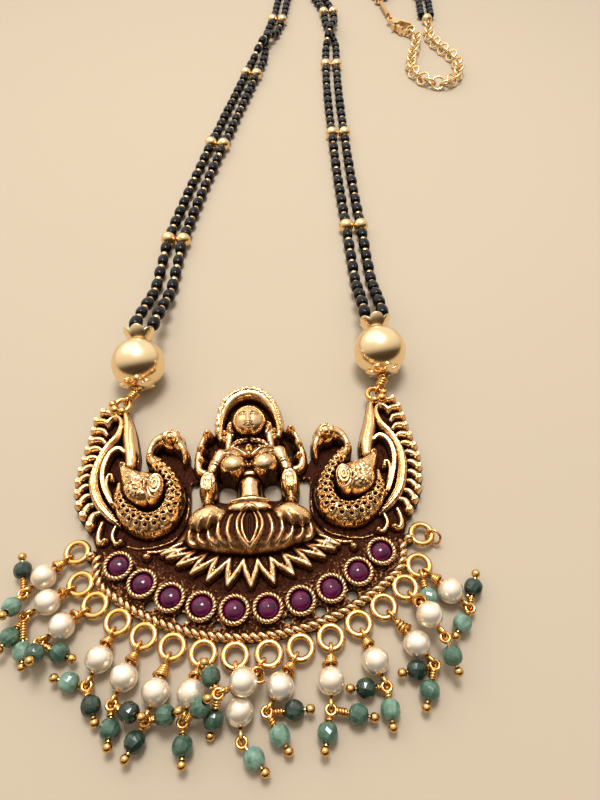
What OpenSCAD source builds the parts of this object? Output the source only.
// Mangalsutra: a cast pendant with a seated figure between two peacocks, a fringe of pearl and green bead
// drops, and two double strings of black and gold beads that meet at a lobster clasp and a short chain.
// It lies on its back. X is to the right, Y is away from the fringe, Z is up, and the table is Z = 0.
// The origin is on the pendant's middle line at its flat back.

/* [Pendant] */
// Radius of the twisted rope edge, about the point arc_y on the middle line
rope_arc = 32.5; // [31.5:0.1:33]
// Height of the arcs' centre above the origin
arc_y = 7; // [6.5:0.1:7.5]
// Thickness of the twisted rope edge
rope_d = 1.5; // [1.3:0.1:1.6]
// Thickness of the cast back plate
plate_t = 1.4; // [1.2:0.1:1.6]
// Height of the seated figure's highest relief above the back
figure_h = 7; // [6:0.5:8]
// Number of pointed petals in the row under the lotus
pointed_petals = 13; // [9:2:17]

/* [Stones] */
// Number of red stones along the rope edge
stones = 10; // [6:2:10]
// Radius of the arc that the stones sit on
stone_arc = 29.1; // [28.8:0.1:29.2]
// Outer diameter of a stone's setting
bezel_d = 4.5; // [4.3:0.1:4.6]
// Diameter of a red stone
stone_d = 3.2; // [2.9:0.1:3.3]

/* [Fringe] */
// Outer diameter of a soldered ring
ring_d = 4; // [3.9:0.1:4.1]
// Thickness of a soldered ring's wire
ring_wire = 0.8; // [0.7:0.05:0.8]
// Diameter of a pearl
pearl_d = 3.6; // [3.4:0.1:3.6]
// Diameter of a green bead
green_d = 2.7; // [2.5:0.1:2.7]
// Diameter of the ball on a pin's end
tip_d = 1.3; // [1.1:0.1:1.3]
// Thickness of the wire through a pearl
drop_wire = 0.4; // [0.3:0.05:0.4]
// Thickness of a pin's wire
pin_wire = 0.35; // [0.3:0.05:0.35]

/* [Strings] */
// Diameter of a large gold ball
ball_d = 9.6; // [9.2:0.1:9.8]
// Diameter of a string, which is that of its black beads
string_d = 2.3; // [2:0.1:2.4]
// Diameter of a gold spacer bead
spacer_d = 3.25; // [3:0.05:3.3]
// Distance between the two strings of a pair at their spacer beads
pair_gap = 3.4; // [3.4:0.1:3.6]
// Distance from one pair of spacer beads to the next
spacer_pitch = 41; // [39:0.5:42]

/* [Clasp] */
// Thickness of the clasp
clasp_t = 2.4; // [2.2:0.1:2.6]
// How far the clasp's lever is pushed in, in degrees
lever_open = 0; // [0:1:30]
// Radius of a chain link to the middle of its wire
link_r = 1.8; // [1.75:0.05:1.85]
// Thickness of a chain link's wire
link_wire = 0.7; // [0.6:0.05:0.72]

/* [Hidden] */
$fn = 48;
gap = 0.1;

// Small tools

function unit(v) = v / norm(v);
function turned(angle) = [cos(angle), sin(angle), 0];

// A smooth curve through the points, with a number of steps between each two
function curve_point(a, b, c, d, t) = 0.5 * (2 * b + (c - a) * t + (2 * a - 5 * b + 4 * c - d) * t * t
    + (3 * b - a - 3 * c + d) * t * t * t);
function smooth(points, steps = 4) = [
    for (i = [0:len(points) - 2]) for (k = [0:steps - 1])
        curve_point(points[max(i - 1, 0)], points[i], points[i + 1], points[min(i + 2, len(points) - 1)],
            k / steps),
    points[len(points) - 1]
];

// The point and the direction at a distance along a path
function running(path, i = 0, total = 0) = i >= len(path) ? []
    : let (here = total + (i == 0 ? 0 : norm(path[i] - path[i - 1]))) concat([here], running(path, i + 1, here));
function piece_at(marks, s, i = 0) = i >= len(marks) - 2 || marks[i + 1] > s ? i : piece_at(marks, s, i + 1);
function along(path, marks, s) = let (i = piece_at(marks, s))
    path[i] + (path[i + 1] - path[i]) * (s - marks[i]) / (marks[i + 1] - marks[i]);
function heading(path, marks, s) = let (i = piece_at(marks, s)) unit(path[i + 1] - path[i]);

// A round bar along a path, with its own radius at each point
module tube(path, radii, sides = 6) {
    last = len(path) - 1;
    rings = [
        for (i = [0:last])
            let (t = unit(path[min(i + 1, last)] - path[max(i - 1, 0)]), n = unit(cross([0, 0, 1], t)),
                b = cross(t, n), r = is_list(radii) ? radii[i] : radii)
            for (k = [0:sides - 1]) path[i] + r * (cos(360 * k / sides) * n + sin(360 * k / sides) * b)
    ];
    sides_faces = [
        for (i = [0:last - 1]) for (k = [0:sides - 1])
            let (j = (k + 1) % sides) each [
                [i * sides + k, (i + 1) * sides + j, i * sides + j],
                [i * sides + k, (i + 1) * sides + k, (i + 1) * sides + j]
            ]
    ];
    start = [for (k = [0:sides - 1]) k];
    end = [for (k = [sides - 1:-1:0]) last * sides + k];
    polyhedron(rings, concat(sides_faces, [start, end]));
}

// A straight round bar between two points
module bar(a, b, d) {
    v = b - a;
    translate(a) rotate([0, acos(v.z / norm(v)), atan2(v.y, v.x)]) cylinder(d = d, h = norm(v));
}

// A ring whose middle circle has radius r, in the plane of the unit direction u and the direction up
module loop(centre, u, r, wire) {
    translate(centre) rotate([90, 0, atan2(u.y, u.x)]) rotate_extrude() translate([r, 0]) circle(d = wire);
}

module mirrored() {
    children();
    mirror([1, 0, 0]) children();
}

// Pendant casting

ring_z = 1.3;
ring_r = (ring_d - ring_wire) / 2;
ring_turn_first = 3.8;
ring_turn = 7.25;
ring_arc = 35;
rings_on_arc = 6;
// The last two rings on each side sit on the turned-up ends of the edge
ring_ends = [[25.1, -16.6], [26.4, -11.6]];
function on_arc(radius, angle) = [radius * sin(angle), arc_y - radius * cos(angle)];
function half_ring(n) = n < rings_on_arc ? on_arc(ring_arc, ring_turn_first + ring_turn * n)
    : ring_ends[n - rings_on_arc];
// Rings are numbered from 1 at the far left to 16 at the far right
function ring_at(k) = let (p = half_ring(k <= 8 ? 8 - k : k - 9)) [k <= 8 ? -p.x : p.x, p.y, ring_z];

stone_turn_first = 4.7;
stone_turn = 9.4;
stone_z = 2.1;
function stone_at(k) = let (half = stones / 2, n = k <= half ? half - k : k - half - 1,
    p = on_arc(stone_arc, stone_turn_first + stone_turn * n)) [k <= half ? -p.x : p.x, p.y];

rope_z = 1.2;
rope_end = [[21.3, -17.7], [22.4, -16.4], [23.1, -14.4], [23.3, -12.4]];
eye_at = [22.5, 15.2, 2.6];
eye_r = 1.3;
eye_wire = 0.9;

function high(points, z) = [for (p = points) [p.x, p.y, z]];

// The flat back: the crescent under the stones, the wings behind the peacocks and a strip behind the figure
module back_plate() {
    linear_extrude(plate_t) difference() {
        union() {
            intersection() {
                translate([0, arc_y]) circle(rope_arc + 0.3, $fn = 90);
                polygon([[-24, -11], [-20, -7.5], [-13, -8.5], [-9, -10.5], [9, -10.5], [13, -8.5], [20, -7.5],
                    [24, -11], [22.6, -16.6], [14, -28], [-14, -28], [-22.6, -16.6]]);
            }
            mirrored() polygon([[23.6, -12.5], [25, -8], [26, -4], [26.6, 0], [26.4, 4], [25.6, 8], [25.8, 12],
                [24.6, 14.6], [21.6, 14.6], [20.4, 9], [19.4, 3.4], [17.8, 0.4], [16.4, 1.2], [17, 4.2],
                [15.6, 6.6], [13, 7.8], [11.2, 6.4], [10.6, 3], [8.6, 0.4], [8.2, -1.6], [10, -2.6],
                [9.9, -6.5], [10.6, -9], [16, -12]]);
            polygon([[-5, -12], [5, -12], [8.6, -9], [5.6, -6], [7.2, -2.4], [7.2, 0.4], [8.6, 1], [9, 4],
                [7, 8], [5.6, 6.4], [5, 9.6], [4.4, 12.8], [2.6, 14.8], [0, 15.8], [-2.6, 14.8], [-4.4, 12.8],
                [-5, 9.6], [-5.6, 6.4], [-7, 8], [-9, 4], [-8.6, 1], [-7.2, 0.4], [-7.2, -2.4], [-5.6, -6],
                [-8.6, -9]]);
        }
        // The openings that show the table
        mirrored() {
            hull() for (p = [[3.3, -1.9], [4.2, -1.9], [3.2, -3.7], [4.3, -3.7]]) translate(p) circle(0.6, $fn = 10);
            hull() for (p = [[9.2, -1], [8.9, -4.8], [8.6, -5.6]]) translate(p) circle(0.65, $fn = 10);
            for (n = [1:3]) translate(on_arc(31, stone_turn * n)) circle(n == 1 ? 0.5 : 0.75, $fn = 10);
        }
        hull() for (p = [[5.4, 6], [6.6, 3.6]]) translate(p) circle(0.45, $fn = 10);
    }
}

module dome(centre, sizes, turn = 0) {
    translate(centre) rotate(turn) scale(sizes) sphere(1, $fn = max(sizes) > 2 ? 8 : 6);
}

// The seated figure, from its crown down to the belt, with four arms
module figure() {
    h = figure_h;
    // Arched crown and hood
    tube(high(smooth([[5, 8.2], [4.9, 11.4], [3, 14.3], [0, 15.5], [-3, 14.3], [-4.9, 11.4], [-5, 8.2]], 2), 2.4),
        1.25, 6);
    hull() { dome([0, 9, 1], [4.2, 5, 3.2]); dome([0, 4, 1], [3.4, 2, 2.6]); }
    // Plain smooth head
    dome([0, 8.2, h - 2.6], [2.6, 2.9, 2.2]);
    hull() { dome([0, 5.2, 3], [1.3, 1, 2.2]); dome([0, 2.6, 3.4], [1.6, 1, 2]); }
    // Chest, waist and belt
    hull() {
        mirrored() dome([4.2, 2.6, 2], [1.6, 1.5, 2.2]);
        dome([0, 0.6, 2], [4, 1.8, 2.6]);
    }
    mirrored() dome([2.4, 0.5, h - 2.8], [2, 1.9, 2]);
    hull() { dome([0, -1.4, 2.2], [2.3, 1, 2.2]); dome([0, -5.2, 2.2], [2.1, 1, 2.2]); }
    dome([0, -5.9, 2.4], [2.9, 0.8, 2.2]);
    mirrored() {
        // Upper arm with its bud
        tube(high(smooth([[4.8, 2.4], [7, 0.8], [8.3, 1.6], [8, 4.4], [7, 7]], 2), 2.4), 0.95, 5);
        dome([7, 7.2, 3.2], [1.1, 1.2, 1.4]);
        dome([7.9, 4.8, 3.2], [1.1, 1, 1.4]);
        // Lower arm with its open hand
        hull() { dome([5.2, 1.6, 2.6], [1.1, 1.2, 1.8]); dome([6.3, -1.8, 3], [0.9, 0.9, 1.8]); }
        hull() { dome([6.3, -2.4, 3.8], [1, 1, 1.6]); dome([6.3, -6.2, 3.6], [1, 1, 1.6]); }
    }
}

// The broad lotus seat with its upright petals, and the row of pointed petals below it
module lotus() {
    hull() {
        dome([0, -9.6, 2.4], [5.4, 1.6, 2.6]);
        dome([0, -13.4, 2.4], [7.6, 1.4, 2]);
        mirrored() dome([9.8, -12.2, 2.2], [1.3, 1.2, 1.6]);
    }
    for (n = [-4:4])
        petal([n * 1.4, -14.4], [n * 2.4, -9.2 - 0.17 * n * n], 1.15, 2.6, 5.4 - 0.1 * n * n);
    for (n = [0:pointed_petals - 1]) {
        f = 2 * n / (pointed_petals - 1) - 1;
        petal([9.6 * f, -14.2 + 1.6 * f * f], [12.2 * f, -20 + 5.6 * f * f], 0.85, plate_t - 0.4, 3.6);
    }
}

// A pointed petal with a ridge down its middle, from its root to its tip
module petal(root, tip, half, low, high) {
    side = half * unit([root.y - tip.y, tip.x - root.x]);
    mid = 0.5 * root + 0.5 * tip;
    polyhedron([concat(root - side, low), concat(root + side, low), concat(mid - side, low),
        concat(mid + side, low), concat(tip, low), concat(root, high), concat(0.2 * root + 0.8 * tip, low + 0.7 * (high - low))],
        [[1, 0, 2, 3], [3, 2, 4], [0, 1, 5], [0, 5, 6, 2], [5, 1, 3, 6], [2, 6, 4], [6, 3, 4]]);
}

// The peacock on the right, whose body curls round its folded wing
module peacock() {
    // Body
    tube(high(smooth([[15, 2.2], [12.8, -0.6], [11.7, -3.4], [11.9, -6], [13.4, -7.8], [15.8, -8.4],
        [18, -7.4], [19.5, -5.4], [20.1, -3], [19.8, -1.2]], 1), 2.6), 1.75, 8);
    // Folded wing
    hull() {
        dome([15, -2.6, 2.6], [1.9, 2.6, 2.2]);
        dome([17, -3.2, 2.6], [1.9, 2.4, 2.2]);
        dome([19.6, 1, 2.6], [0.9, 1.2, 1.6]);
    }
    // Neck, head and beak
    tube(high([[15.5, 2.2], [16.2, 4], [15.3, 5.7], [13.2, 6.3]], 2.6), 1.5, 6);
    dome([12.9, 6, 2.9], [2, 2, 2.2]);
    hull() { dome([11.6, 5, 2.6], [1.1, 1.1, 1.5]); dome([10.7, 2.7, 2.4], [0.5, 0.6, 1]); }
    // Broad smooth tail feather, from the wing up to the eye
    hull() { dome([20.4, 3.2, 2], [1, 0.9, 1.5]); dome([21.2, 8, 1.8], [1.5, 2, 1.3]); dome([22.8, 12.8, 2],
        [1, 1, 1.2]); }
    // Double rib from the eye down the outside, the rib within it and the curl
    tube(high([[25, 12.3], [23.6, 12.3], [22.3, 10], [22.8, 6.6], [24.4, 4], [25, 1.2], [24.9, -1],
        [23.9, -3.8], [22.2, -6.2], [19.6, -8.2]], 2.4), 0.85, 5);
    tube(high([[20.4, 3.4], [21.4, 5.3], [22.9, 4.9], [23.6, 1.1], [23.2, -1.6], [21.6, -4.6]], 2.4), 0.55, 5);
    tube(high([[21.3, -0.4], [21.8, 0.8], [22.6, -0.8], [22.2, -3], [20.8, -5.4]], 2), 0.5, 5);
    // Comb of short ribs along the outer edge
    for (row = [[24.6, 13, 25.9, 13.6], [25, 11, 26.9, 11.2], [24, 8.2, 26.6, 8.6], [24.2, 5.6, 27.1, 6],
        [25, 3, 27.4, 3.4], [25.4, 0.8, 27.7, 1.2], [25.4, -1.3, 27.7, -1.1], [24.8, -3.4, 27.2, -3.2],
        [23.8, -5.4, 26.2, -5.4], [22.6, -7.2, 25, -7.6]])
        tube([[row[0], row[1], 1.6], [row[2], row[3], 1.6]], [0.8, 0.65], 5);
    // Scrolls and the leaf below the body
    tube(high([[23.9, -6.6], [22.6, -10.2]], 1.6), 0.6, 5);
    tube(high([[20.8, -8.8], [20, -11.4]], 1.6), 0.6, 5);
    tube(high([[18.4, -11.4], [12.4, -10.6]], 1.5), 0.45, 6);
    // Three small balls under the eye
    for (p = [[22.2, 13.8], [23.6, 14.4], [22.9, 13]]) dome([p.x, p.y, 2.2], [0.8, 0.8, 1]);
}

module bezel() {
    difference() {
        cylinder(d = bezel_d, h = stone_z + 0.9, $fn = 12);
        translate([0, 0, stone_z - 0.5]) cylinder(d = (stone_d + 2 * gap) / cos(180 / 12), h = 3, $fn = 12);
    }
}

module rope_edge() {
    half = [for (a = [0:4:38]) on_arc(rope_arc, a)];
    right = concat(half, rope_end);
    path = concat([for (i = [len(right) - 1:-1:1]) [-right[i].x, right[i].y]], right);
    tube(high(path, rope_z), rope_d / 2, 7);
}

module soldered_ring() {
    rotate_extrude($fn = 12) translate([ring_r, 0]) circle(d = ring_wire, $fn = 5);
}

module pendant_casting() {
    color("darkgoldenrod") intersection() {
        // The back is flat
        translate([-40, -40, 0]) cube([80, 80, 20]);
        union() {
            back_plate();
            figure();
            lotus();
            mirrored() peacock();
            rope_edge();
            for (k = [1:stones]) translate(concat(stone_at(k), 0)) bezel();
            for (k = [1:16]) translate(ring_at(k)) soldered_ring();
            mirrored() {
                translate(eye_at) rotate_extrude($fn = 12) translate([eye_r, 0]) circle(d = eye_wire, $fn = 6);
                // The edge's ends, which carry the last two rings
                dome([24.2, -12.2, ring_z], [0.9, 0.8, 0.9]);
                dome([23, -16.7, ring_z], [0.8, 0.8, 0.8]);
            }
        }
    }
}

// A red stone: a round cabochon with a flat base, glued in its setting
module ruby(k) {
    color("mediumvioletred") translate(concat(stone_at(k), stone_z - 0.5 + gap / 2)) intersection() {
        cylinder(d = stone_d, h = 3);
        translate([0, 0, -0.2]) sphere(r = stone_d / 2 + 0.25);
    }
}

// Fringe

up_r = 0.72;
low_r = 0.73;
hang_z = 1.4;
pin_loop_r = 0.62;
stack = 0.24;
tip_reach = green_d / 2 + gap + tip_d / 2;
pearl_bore = 1;
green_bore = 0.6;
wrap_d = 0.9;

// Columns: ring, direction from the ring to the pearl, distance to the pearl, height of the pearl,
// how far the lower loop turns away from that direction, and one or two pins. Columns of a pin:
// direction, rise and distance from the lower loop to the bead
RING = 0; DIRECTION = 1; DISTANCE = 2; HEIGHT = 3; BEND = 4; PINS = 5;
drops = [
    [1, -138, 5.6, 1.8, 0, [[103, 5, 3.8], [-104, 38, 2.8]]],
    [2, -149, 4.9, 1.8, 0, [[-115, 14, 3.2], [-80, 0, 4.9]]],
    [3, -145, 5, 1.8, 0, [[-26, 5, 3.4], [-80, 50, 2.6]]],
    [4, -110, 5.3, 1.8, 0, [[165, 7, 2.6], [-70, -5, 2.6]]],
    [5, -111, 5.7, 1.8, 0, [[-88, 7, 2.8], [-24, 20, 3]]],
    [6, -107, 6, 1.8, 0, [[-117, 7, 2.6], [6, 28, 3]]],
    [7, -105, 5.2, 1.8, 0, [[-88, 7, 2.7], [26, 50, 3.9]]],
    [8, -85, 7, 1.8, 0, [[-50, 0, 2.4]]],
    [9, -131, 5.1, 3.7, -27, [[-106, -35, 3.2], [116, -10, 2.5]]],
    [10, -122, 5.7, 1.8, 0, [[0, 5, 3.6], [-60, -5, 3.2]]],
    [11, -95, 5.7, 1.8, 0, [[-104, 7, 2.7], [-12, -3, 3.6]]],
    [12, -72, 5.4, 1.8, 0, [[180, 7, 2.8], [-88, -5, 2.7]]],
    [13, -55, 6.6, 1.8, 0, [[-170, 7, 2.6], [-112, -3, 3.4]]],
    [14, -64, 5.3, 3.5, 0, [[-75, -14, 2.4]]],
    [15, -48, 5.7, 1.8, 0, [[68, 5, 3.3], [-128, 0, 2.6]]]
];
// A lone pin that hangs on a ring. Columns: ring, place on the ring, direction, rise and distance to the bead
lone_pin = [15, -87, -82, 1.5, 3.25];
half_of_drops = 8;

function drop_dir(row) = turned(row[DIRECTION]);
function low_dir(row) = turned(row[DIRECTION] + row[BEND]);
function pearl_at(row) = let (p = ring_at(row[RING]) + row[DISTANCE] * drop_dir(row)) [p.x, p.y, row[HEIGHT]];
function low_z(row) = row[HEIGHT] < 2 ? hang_z : row[HEIGHT];
function low_at(row) = let (p = pearl_at(row) + (pearl_d / 2 + 0.05 + drop_wire / 2 + low_r) * low_dir(row))
    [p.x, p.y, low_z(row)];
function pin_drop(row, n) = len(row[PINS]) > 1 ? (2 * n - 1) * stack : 0;
function pin_at(row, n) = low_at(row) + sqrt(low_r * low_r - pow(pin_drop(row, n), 2)) * low_dir(row)
    + [0, 0, pin_drop(row, n)];
function leaning(turn, rise) = [cos(turn) * cos(rise), sin(turn) * cos(rise), sin(rise)];
function pin_start(row, n) = pin_at(row, n) + pin_loop_r * turned(row[PINS][n][0]);
function pin_dir(row, n) = leaning(row[PINS][n][0], row[PINS][n][1]);
function pin_reach(row, n) = row[PINS][n][2] - pin_loop_r;

module pearl(n) {
    row = drops[n - 1];
    color("ivory") translate(pearl_at(row)) rotate([0, 90, row[DIRECTION] + row[BEND]]) difference() {
        sphere(d = pearl_d);
        cylinder(d = pearl_bore, h = pearl_d + 1, center = true);
    }
}

module drop_wire_of(row) {
    u = drop_dir(row);
    v = low_dir(row);
    ring_side = ring_at(row[RING]) + ring_r * u;
    start = ring_side + up_r * u;
    near = pearl_at(row) - (pearl_d / 2 + 0.15) * v;
    far = pearl_at(row) + pearl_d / 2 * v;
    end = low_at(row) - low_r * v;
    loop(ring_side, u, up_r, drop_wire);
    loop(low_at(row), v, low_r, drop_wire);
    bar(start, near + 0.3 * v, drop_wire);
    bar(near, far, drop_wire + 0.1);
    bar(far - 0.3 * v, end, drop_wire);
    // The wire's turns round itself, between the loop and the pearl
    bar(start + 0.35 * (near - start), near - 0.1 * (near - start), wrap_d);
}

// A pin from its loop through its bead to the ball on its end, and the wire's turns next to the loop
module pin_shaft(from, dir, reach) {
    ball = from + (reach + tip_reach) * dir;
    turns = reach - green_d / 2 - gap;
    bar(from, ball, pin_wire);
    translate(ball) sphere(d = tip_d, $fn = 24);
    if (turns > 0.35) bar(from + 0.15 * dir, from + turns * dir, wrap_d - 0.2);
}

module pins_of(row) {
    for (n = [0:len(row[PINS]) - 1]) {
        translate(pin_at(row, n)) rotate_extrude() translate([pin_loop_r, 0]) circle(d = pin_wire);
        pin_shaft(pin_start(row, n), pin_dir(row, n), pin_reach(row, n));
    }
}

module green_bead(at, dir) {
    // Rounded bead with flat bands, like a cut one
    r = green_d / 2;
    translate(at) rotate([0, acos(dir.z), atan2(dir.y, dir.x)]) rotate_extrude() polygon([
        [green_bore / 2, -0.93 * r], [0.5 * r, -0.93 * r], [0.86 * r, -0.55 * r], [r, -0.18 * r],
        [r, 0.18 * r], [0.86 * r, 0.55 * r], [0.5 * r, 0.93 * r], [green_bore / 2, 0.93 * r]
    ]);
}

lone_loop = ring_at(lone_pin[0]) + ring_r * turned(lone_pin[1]);
lone_dir = leaning(lone_pin[2], lone_pin[3]);
lone_start = lone_loop + up_r * lone_dir;
lone_reach = lone_pin[4] - up_r;

module green_beads(rows) {
    color("seagreen") for (row = rows) for (n = [0:len(row[PINS]) - 1])
        green_bead(pin_start(row, n) + pin_reach(row, n) * pin_dir(row, n), pin_dir(row, n));
}

function left_drops() = [for (n = [0:half_of_drops - 1]) drops[n]];
function right_drops() = [for (n = [half_of_drops:len(drops) - 1]) drops[n]];

module green_beads_left() green_beads(left_drops());
module green_beads_right() {
    green_beads(right_drops());
    color("seagreen") green_bead(lone_start + lone_reach * lone_dir, lone_dir);
}
module drop_wires_left() color("goldenrod") for (row = left_drops()) drop_wire_of(row);
module drop_wires_right() color("goldenrod") for (row = right_drops()) drop_wire_of(row);
module head_pins_left() color("goldenrod") for (row = left_drops()) pins_of(row);
module head_pins_right() color("goldenrod") {
    for (row = right_drops()) pins_of(row);
    loop(lone_loop, turned(lone_pin[2]), up_r, pin_wire);
    pin_shaft(lone_start, lone_dir, lone_reach);
}
// The bare loop of wire on the last ring, whose pearl is gone
module loose_loop() color("goldenrod")
    translate(ring_at(16) + [1.7, -0.6, 0]) rotate([57, 4, -40]) rotate_extrude()
        translate([1.15, 0]) circle(d = drop_wire);

// Balls and strings

ball_z = ball_d / 2;
ball_bore = 2;
cap_gap = 0.1;
cap_t = 0.45;
string_z = spacer_d / 2 + 0.02;
rest_z = string_d / 2 + 0.05;
neck_r = 0.35;
// Columns: x, y of a ball, and its direction along the string
ball_left_at = [-20.1, 23];
ball_left_turn = 90;
ball_right_at = [24.4, 23.6];
ball_right_turn = 93;
// How far a ball's bore rises toward the string, in degrees
ball_rise = 15;
// Middle line between the two strings of a pair, from the ball to the end bead, seen from above
route_left = [
    ball_left_at + 4 * cos(ball_rise) * [cos(ball_left_turn), sin(ball_left_turn)], [-18, 46], [-16.4, 62.8], [-12.6, 83],
    [-8.1, 102.7], [-3.4, 123], [1.4, 142.8], [6.2, 163], [10.9, 183.1], [13.6, 202], [17.4, 220.5],
    [26.6, 235.8], [40.5, 241], [54, 235.8], [62.6, 222], [65.4, 204.5], [63.2, 181]
];
route_right = [
    ball_right_at + 4 * cos(ball_rise) * [cos(ball_right_turn), sin(ball_right_turn)], [24.4, 47], [24.4, 65.6], [24.4, 86],
    [24.8, 106.7], [25.4, 127], [26.5, 147.2], [28.2, 167], [29.2, 187.6], [27.6, 198.6], [26, 209],
    [27.4, 219.6], [33, 228.2], [41.8, 231.4], [49.4, 226], [51.6, 213.4], [49, 199.6]
];
first_spacer_left = 36;
first_spacer_right = 38;
spacers_left = 7;
spacers_right = 6;
// The two strings of a pair change places once, one passing over the other
cross_from_left = 125.5;
cross_from_right = 130.5;
cross_length = 26;
cross_rise = 2.7;
fall_length = 22;
string_step = 6;
// How far the strings run as threads in the ball at one end and in the bead at the other
thread_in = 4;
thread_out = 2.4;

function flat_route(route) = smooth([for (p = route) [p.x, p.y, 0]], 6);
path_left = flat_route(route_left);
path_right = flat_route(route_right);
marks_left = running(path_left);
marks_right = running(path_right);
length_left = marks_left[len(marks_left) - 1];
length_right = marks_right[len(marks_right) - 1];

// Share of the way through the crossing, from 0 to 1
function crossing(s, from) = min(max((s - from) / cross_length, 0), 1);
function nearest_spacer(s, first, count) = first + spacer_pitch * min(max(round((s - first) / spacer_pitch), 0),
    count - 1);
function string_height(s, first, count, from, hand, total) =
    let (off = min(abs(s - nearest_spacer(s, first, count)) / 8, max(total - s - 1, 0) / 8, 1), c = crossing(s, from),
        lying = string_z + (rest_z - string_z) * off,
        t = min(s / fall_length, 1),
        fall = (ball_z + 4 * sin(ball_rise) - lying) * (1 - 3 * t * t + 2 * t * t * t)
            + fall_length * tan(ball_rise) * t * (1 - t) * (1 - t))
    lying + fall + (hand > 0 ? cross_rise * pow(sin(180 * c), 2) : 0);
function string_offset(s, from, hand, total) =
    let (open = min(max((s - 1.9) / 1.6, 0), max((total - s - 1) / 1.8, 0), 1))
        hand * (0.5 + (pair_gap / 2 - 0.5) * open) * cos(180 * crossing(s, from));
function string_point(path, marks, s, first, count, from, hand) =
    let (p = along(path, marks, s), t = heading(path, marks, s))
    p + string_offset(s, from, hand, marks[len(marks) - 1]) * [-t.y, t.x, 0]
    + [0, 0, string_height(s, first, count, from, hand, marks[len(marks) - 1])];

// Stations along a string: its distance and its radius. It necks down to a thread in each spacer bead
// and at both ends
function stations(first, count, total) = let (
        half = spacer_d / 2 + 0.25, r = string_d / 2,
        stops = concat([thread_in], [for (i = [0:count - 1]) first + i * spacer_pitch], [total - thread_out]),
        last = len(stops) - 2)
    concat([[0, neck_r], [1.6, neck_r], [thread_in - 0.02, neck_r]],
    [for (i = [0:last])
        let (a = stops[i] + (i == 0 ? 0 : half), b = stops[i + 1] - (i == last ? 0 : half),
            n = max(round((b - a) / string_step), 1))
        each concat([for (k = [0:n]) [a + (b - a) * k / n, r]],
            i == last ? [] : [[b + 0.02, neck_r], [b + 2 * half - 0.02, neck_r]])],
    [[total - thread_out + 0.02, neck_r], [total - 1, neck_r], [total, neck_r]]);

module string_of(path, marks, first, count, from, hand) {
    spots = stations(first, count, marks[len(marks) - 1]);
    tube([for (p = spots) string_point(path, marks, p[0], first, count, from, hand)], [for (p = spots) p[1]], 8);
}

module string_left_a() color("black")
    string_of(path_left, marks_left, first_spacer_left, spacers_left, cross_from_left, 1);
module string_left_b() color("black")
    string_of(path_left, marks_left, first_spacer_left, spacers_left, cross_from_left, -1);
module string_right_a() color("black")
    string_of(path_right, marks_right, first_spacer_right, spacers_right, cross_from_right, 1);
module string_right_b() color("black")
    string_of(path_right, marks_right, first_spacer_right, spacers_right, cross_from_right, -1);

module spacer_beads(path, marks, first, count, from) {
    color("gold") for (i = [0:count - 1]) for (hand = [-1, 1]) {
        s = first + i * spacer_pitch;
        t = heading(path, marks, s);
        translate(string_point(path, marks, s, first, count, from, hand)) rotate([0, 90, atan2(t.y, t.x)])
            difference() {
                sphere(d = spacer_d, $fn = 32);
                cylinder(d = 2 * neck_r + 0.7, h = spacer_d + 1, center = true);
            }
    }
}
module spacer_beads_left()
    spacer_beads(path_left, marks_left, first_spacer_left, spacers_left, cross_from_left);
module spacer_beads_right()
    spacer_beads(path_right, marks_right, first_spacer_right, spacers_right, cross_from_right);

module ball(at, turn) {
    color("gold") translate([at.x, at.y, ball_z]) rotate([0, 90 - ball_rise, turn]) difference() {
        sphere(d = ball_d);
        cylinder(d = ball_bore, h = ball_d + 1, center = true);
    }
}

// A thin cup with scalloped petals on one end of a ball. The upper cup flares away from the ball
module ball_cap(at, turn, upper) {
    inner = ball_d / 2 + cap_gap;
    petals = upper ? 6 : 7;
    color("gold") translate([at.x, at.y, ball_z]) rotate([0, 90 - ball_rise, turn]) mirror([0, 0, upper ? 0 : 1])
        if (upper) difference() {
            rotate_extrude() polygon([[1.1, inner], [1.6, inner - 0.15], [2.1, inner + 0.5], [3.1, inner + 1.5],
                [2.8, inner + 1.9], [1.8, inner + 1], [1.1, inner + 0.45]]);
            for (k = [0:petals - 1]) rotate(360 * (k + 0.5) / petals) translate([3.35, 0, inner])
                cylinder(d = 0.9, h = 3);
        }
        else difference() {
            intersection() {
                sphere(r = inner + cap_t);
                cylinder(r = 3.3, h = 10);
            }
            sphere(r = inner);
            cylinder(d = ball_bore, h = 20, center = true);
            for (k = [0:petals - 1]) rotate(360 * (k + 0.5) / petals) translate([3.3, 0, 0])
                cylinder(d = 1.1, h = 10);
        }
}

module eye_wire_of(side, at, turn) {
    eye = [side * eye_at.x, eye_at.y, eye_at.z];
    u = cos(ball_rise) * turned(turn) + [0, 0, sin(ball_rise)];
    out = [at.x, at.y, ball_z] - (ball_d / 2 + 0.75) * u;
    // The loop stands upright and points at the place where the wire enters the ball
    toward = unit([out.x - eye.x, out.y - eye.y, 0]);
    hang = eye + eye_r * toward;
    foot = hang + (up_r + 0.08) * unit(out - hang);
    way = unit(out - foot);
    color("goldenrod") {
        loop(hang, toward, up_r + 0.08, drop_wire);
        bar(foot - 0.1 * way, out, drop_wire);
        bar(out - 0.2 * u, out + 3 * u, drop_wire + 0.1);
        bar(foot + 0.15 * way, out - 0.35 * way, 1.2);
    }
}

module ball_left() ball(ball_left_at, ball_left_turn);
module ball_right() ball(ball_right_at, ball_right_turn);
module ball_cap_left_lower() ball_cap(ball_left_at, ball_left_turn, false);
module ball_cap_left_upper() ball_cap(ball_left_at, ball_left_turn, true);
module ball_cap_right_lower() ball_cap(ball_right_at, ball_right_turn, false);
module ball_cap_right_upper() ball_cap(ball_right_at, ball_right_turn, true);
module eye_wire_left() eye_wire_of(-1, ball_left_at, ball_left_turn);
module eye_wire_right() eye_wire_of(1, ball_right_at, ball_right_turn);

// Ends of the strings, clasp and chain

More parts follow.
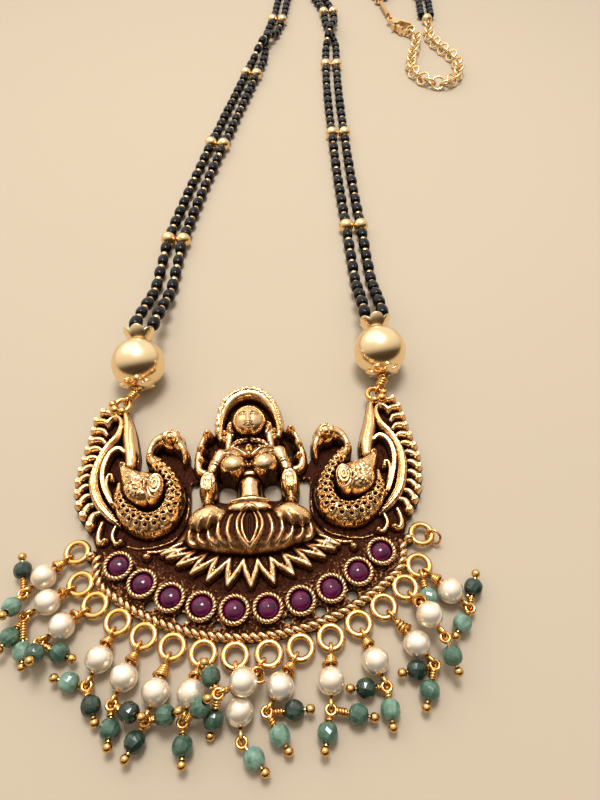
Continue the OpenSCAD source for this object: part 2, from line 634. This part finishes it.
end_bead_d = 3.4;
end_bore = 1.9;
hook_r = 1.2;
hook_wire = 0.5;
clasp_z = 1.5;
clasp_at = [50.5, 180.4];
clasp_turn = -62;
// In the clasp's own plane: its eye is at the origin and its hook at the far end
eye_out = 1.55;
eye_in = 0.85;
eye_t = 1;
hook_t = 1.1;
bow_x = 8.2;
bow_out = 2.8;
bow_in = 2;
pivot = [3.7, -1];
pivot_d = 0.8;
hub_r = 0.9;
lever_t = 1;
gate_t = 1.7;
lever_reach = 4.65;

function end_dir(path, marks) = heading(path, marks, marks[len(marks) - 1] - 0.01);
function end_point(path, marks) = path[len(path) - 1] + (end_bead_d / 2 - 1) * end_dir(path, marks)
    + [0, 0, string_z];

module end_bead(path, marks) {
    t = end_dir(path, marks);
    color("gold") translate(end_point(path, marks)) rotate([0, 90, atan2(t.y, t.x)]) difference() {
        sphere(d = end_bead_d);
        cylinder(d = end_bore, h = end_bead_d + 1, center = true);
    }
}
module end_bead_left() end_bead(path_left, marks_left);
module end_bead_right() end_bead(path_right, marks_right);

// A bar that leaves the end bead and closes in a loop
module end_hook(from, centre, thick) {
    u = unit([centre.x - from.x, centre.y - from.y, 0]);
    end = centre - hook_r * u;
    color("goldenrod") {
        bar(from, end, hook_wire);
        bar(from + 0.13 * (end - from), end - 0.13 * (end - from), thick);
        loop(centre, u, hook_r, hook_wire);
    }
}
left_out = end_dir(path_left, marks_left);
left_loop = end_point(path_left, marks_left) + 4.4 * left_out;
right_way = unit(concat(clasp_at, string_z) - end_point(path_right, marks_right));
module end_hook_left()
    end_hook(end_point(path_left, marks_left) + 1.1 * left_out, left_loop, 0.9);
module end_hook_right()
    end_hook(end_point(path_right, marks_right) + 1.1 * right_way,
        [clasp_at.x, clasp_at.y, clasp_z] - hook_r * right_way, 1.3);

module at_clasp() translate([clasp_at.x, clasp_at.y, clasp_z]) rotate(clasp_turn) children();

// Two circles joined by their common tangents
module capsule(x1, r1, x2, r2) {
    lean = asin((r1 - r2) / (x1 - x2));
    translate([x1, 0]) circle(r1);
    translate([x2, 0]) circle(r2);
    polygon([[x1 - r1 * sin(lean), r1 * cos(lean)], [x1 - r1 * sin(lean), -r1 * cos(lean)],
        [x2 - r2 * sin(lean), -r2 * cos(lean)], [x2 - r2 * sin(lean), r2 * cos(lean)]]);
}

module wedge(r, from, to) intersection() {
    circle(r);
    polygon(concat([[0, 0]], [for (k = [0:4]) let (a = from + (to - from) * k / 4) 2 * r * [cos(a), sin(a)]]));
}

module clasp_outline() capsule(bow_x, bow_out, 3.2, 1.9);
module clasp_opening() capsule(bow_x, bow_in, 5.3, 0.7);

module clasp_body() color("gold") at_clasp() {
    difference() {
        translate([0, 0, -clasp_t / 2]) linear_extrude(clasp_t) difference() {
            clasp_outline();
            clasp_opening();
            translate(pivot) difference() {
                union() {
                    wedge(lever_reach + 0.12, -80, 0);
                    wedge(2.8, -80, 36);
                }
                circle(hub_r + 0.55);
            }
        }
        // The hook is thinner than the rest
        for (side = [-1, 1]) translate([9.3, -5, side > 0 ? hook_t / 2 : -hook_t / 2 - 3]) cube([5, 10, 3]);
        // The slot that the lever turns in
        translate([pivot.x, pivot.y, -lever_t / 2 - gap]) linear_extrude(lever_t + 2 * gap) {
            circle(hub_r + 0.15);
            wedge(hub_r + 0.7, -100, 40);
        }
    }
    translate([pivot.x, pivot.y, -clasp_t / 2]) cylinder(d = pivot_d, h = clasp_t);
    translate([0, 0, -eye_t / 2]) linear_extrude(eye_t) difference() {
        union() {
            circle(eye_out);
            translate([0.6, -0.8]) square([2, 1.6]);
        }
        circle(eye_in);
    }
}

// The lever that closes the hook. It turns inwards on the pin
module clasp_lever() color("khaki") at_clasp() translate(pivot) rotate(lever_open) difference() {
    union() {
        translate([0, 0, -lever_t / 2]) cylinder(r = hub_r, h = lever_t);
        translate([0, 0, -lever_t / 2]) linear_extrude(lever_t) intersection() {
            wedge(2.4, -60, -4);
            translate(-pivot) clasp_outline();
        }
        translate([0, 0, -gate_t / 2]) linear_extrude(gate_t) {
            difference() {
                intersection() {
                    wedge(lever_reach, -60, -2);
                    translate(-pivot) clasp_outline();
                }
                translate(-pivot) clasp_opening();
                circle(hub_r + 0.75);
            }
            translate([1.4, -1.75]) circle(0.58);
        }
    }
    translate([0, 0, -2]) cylinder(d = pivot_d + 0.16, h = 4);
}

// Extension chain, from the clasp's hook to the other string's loop
chain_first = [clasp_at.x, clasp_at.y] + (bow_x + (bow_in + bow_out) / 2 + 0.1) * [cos(clasp_turn), sin(clasp_turn)];
chain_last = left_loop + link_r * left_out;
chain_z = 1.66;
chain_path = flat_route([
    chain_first, [56.8, 166.3], [55.4, 159.5], [52.8, 151.5], [51.4, 143.2], [54, 136], [59.6, 133.2],
    [65, 138.8], [66.4, 149], [62.8, 160], [61.4, 167.6], [chain_last.x, chain_last.y]
]);
chain_marks = running(chain_path);
chain_length = chain_marks[len(chain_marks) - 1];
links = round(chain_length / 2.6) + 1;

module extension_chain() color("goldenrod") for (k = [0:links - 1]) {
    s = min(max(chain_length * k / (links - 1), 0.01), chain_length - 0.01);
    p = along(chain_path, chain_marks, s);
    t = heading(chain_path, chain_marks, s);
    translate([p.x, p.y, chain_z]) rotate([0, 0, atan2(t.y, t.x)]) rotate([k % 2 == 0 ? 45 : -45, 0, 0])
        rotate_extrude() translate([link_r, 0]) circle(d = link_wire);
}

pendant_casting();
ruby(1);  // ruby_1
ruby(2);  // ruby_2
ruby(3);  // ruby_3
ruby(4);  // ruby_4
ruby(5);  // ruby_5
ruby(6);  // ruby_6
ruby(7);  // ruby_7
ruby(8);  // ruby_8
ruby(9);  // ruby_9
ruby(10);  // ruby_10
pearl(1);  // pearl_1
pearl(2);  // pearl_2
pearl(3);  // pearl_3
pearl(4);  // pearl_4
pearl(5);  // pearl_5
pearl(6);  // pearl_6
pearl(7);  // pearl_7
pearl(8);  // pearl_8
pearl(9);  // pearl_9
pearl(10);  // pearl_10
pearl(11);  // pearl_11
pearl(12);  // pearl_12
pearl(13);  // pearl_13
pearl(14);  // pearl_14
pearl(15);  // pearl_15
green_beads_left();
green_beads_right();
drop_wires_left();
drop_wires_right();
head_pins_left();
head_pins_right();
loose_loop();
ball_left();
ball_right();
ball_cap_left_lower();
ball_cap_left_upper();
ball_cap_right_lower();
ball_cap_right_upper();
eye_wire_left();
eye_wire_right();
string_left_a();
string_left_b();
string_right_a();
string_right_b();
spacer_beads_left();
spacer_beads_right();
end_bead_left();
end_bead_right();
end_hook_left();
end_hook_right();
clasp_body();
clasp_lever();
extension_chain();
